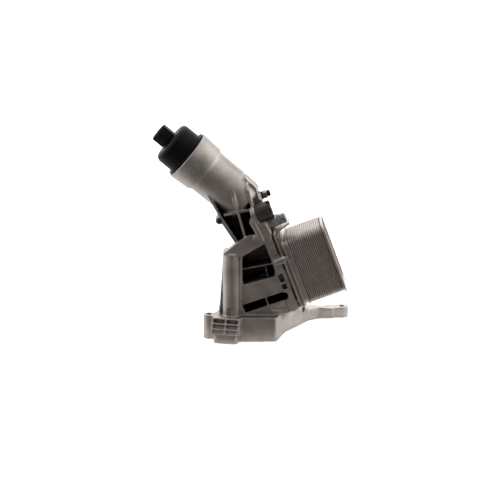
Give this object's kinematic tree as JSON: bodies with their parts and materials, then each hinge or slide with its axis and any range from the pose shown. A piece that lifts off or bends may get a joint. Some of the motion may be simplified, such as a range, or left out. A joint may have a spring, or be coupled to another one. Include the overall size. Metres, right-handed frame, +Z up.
{
  "type": "engine oil cooler",
  "caption": "Die-cast engine oil filter housing with a leaning screw-capped filter bowl and a brazed plate oil cooler bolted to its slanted side.",
  "frame": {"origin": "a land in the middle of the base's gasket face, which stands on the floor", "axes": "+Z up from the gasket face, +X toward the cooler, +Y away from the pillar side"},
  "size_m": [0.3044, 0.1702, 0.3302],
  "materials": {
    "cast_aluminium": "warm grey as-cast surface, satin where it is machined",
    "brazed_aluminium": "rolled sheet, brazed",
    "black_nylon": "glass-filled moulding, satin",
    "black_rubber": "matt",
    "zinc_plated_steel": "blue-grey zinc plate",
    "spring_steel": "drawn wire",
    "soft_aluminium": "annealed sealing washer",
    "filter_paper": "pleated, matt"
  },
  "bodies": {
    "housing": {"base_gasket": "black_rubber", "bleed_cap": "black_rubber", "bleed_screw": "zinc_plated_steel", "bleed_screw_washer": "black_rubber", "bypass_plug": "zinc_plated_steel", "bypass_plug_washer": "soft_aluminium", "bypass_spring": "spring_steel", "channel_plug": "black_rubber", "cooler_base_plate": "brazed_aluminium", "cooler_bolt_1": "zinc_plated_steel", "cooler_bolt_2": "zinc_plated_steel", "cooler_bolt_3": "zinc_plated_steel", "cooler_bolt_4": "zinc_plated_steel", "cooler_end_plate": "brazed_aluminium", "cooler_plates": "brazed_aluminium", "cooler_spacer": "brazed_aluminium", "cooler_tray": "brazed_aluminium", "filter_bypass_cage": "black_nylon", "filter_bypass_spring": "spring_steel", "housing": "cast_aluminium", "non_return_flap": "black_rubber", "seal_coolant_in": "black_rubber", "seal_coolant_out": "black_rubber", "seal_oil_in": "black_rubber", "seal_oil_out": "black_rubber", "support_core": "black_nylon", "valve_cover": "black_nylon", "valve_cover_o_ring": "black_rubber"},
    "filter_element": {"filter_media": "filter_paper", "filter_end_cap_upper": "black_nylon", "filter_end_cap_lower": "black_nylon", "drain_pin_o_ring": "black_rubber"},
    "cap_seal": {"cap_o_ring": "black_rubber"},
    "screw_cap": {"filter_cap": "black_nylon"},
    "filter_bypass_valve": {"filter_bypass_disc": "black_nylon"},
    "cooler_bypass_valve": {"bypass_piston": "zinc_plated_steel"}
  },
  "joints": [
    {"name": "element_pull", "type": "slide", "parent": "housing", "child": "filter_element", "axis": [-0.766, 0, 0.6428], "range_m": [0, 0.135]},
    {"name": "cap_travel", "type": "slide", "parent": "filter_element", "child": "cap_seal", "axis": [-0.766, 0, 0.6428], "range_m": [0, 0.012]},
    {"name": "cap_turn", "type": "hinge", "parent": "cap_seal", "child": "screw_cap", "pos_m": [-0.13519, -0.025, 0.28305], "axis": [-0.766, 0, 0.6428], "range_deg": [0, 1440]},
    {"name": "filter_bypass_lift", "type": "slide", "parent": "housing", "child": "filter_bypass_valve", "axis": [0.766, 0, -0.6428], "range_m": [0, 0.004], "stiffness_N_per_m": 900, "springref_m": -0.004, "deforming": ["filter_bypass_spring"]},
    {"name": "cooler_bypass_lift", "type": "slide", "parent": "housing", "child": "cooler_bypass_valve", "axis": [0.9367, 0, 0.3502], "range_m": [0, 0.005], "stiffness_N_per_m": 2500, "springref_m": -0.004, "deforming": ["bypass_spring"]}
  ],
  "couplings": [
    {"joint": "cap_travel", "follows": "cap_turn", "m_per_rad": 0.00047746}
  ]
}
